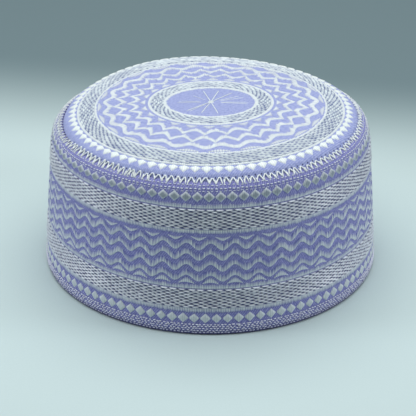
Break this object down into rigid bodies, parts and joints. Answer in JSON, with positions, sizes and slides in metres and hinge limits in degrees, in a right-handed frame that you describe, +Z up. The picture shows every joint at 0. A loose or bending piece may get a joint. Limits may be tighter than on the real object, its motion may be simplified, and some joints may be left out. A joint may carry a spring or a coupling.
{
  "type": "embroidered prayer cap",
  "caption": "Soft oval prayer cap: an upright embroidered band with quilted rows, closed by a domed, sewn-on top, hollow and open below.",
  "frame": {"origin": "middle of the bottom edge's oval, on the surface that the cap stands on", "axes": "+Z up through the crown, -Y to the front of the cap, +X to the right as seen from the front"},
  "size_m": [0.1932, 0.1816, 0.1012],
  "materials": {
    "lilac_cotton": "matt cotton twill, doubled and stiffened by its stitching",
    "white_thread": "satin embroidery thread with a soft sheen",
    "lilac_thread": "matt sewing thread"
  },
  "bodies": {
    "root": {"side_band": "lilac_cotton", "crown": "lilac_cotton"}
  },
  "joints": []
}
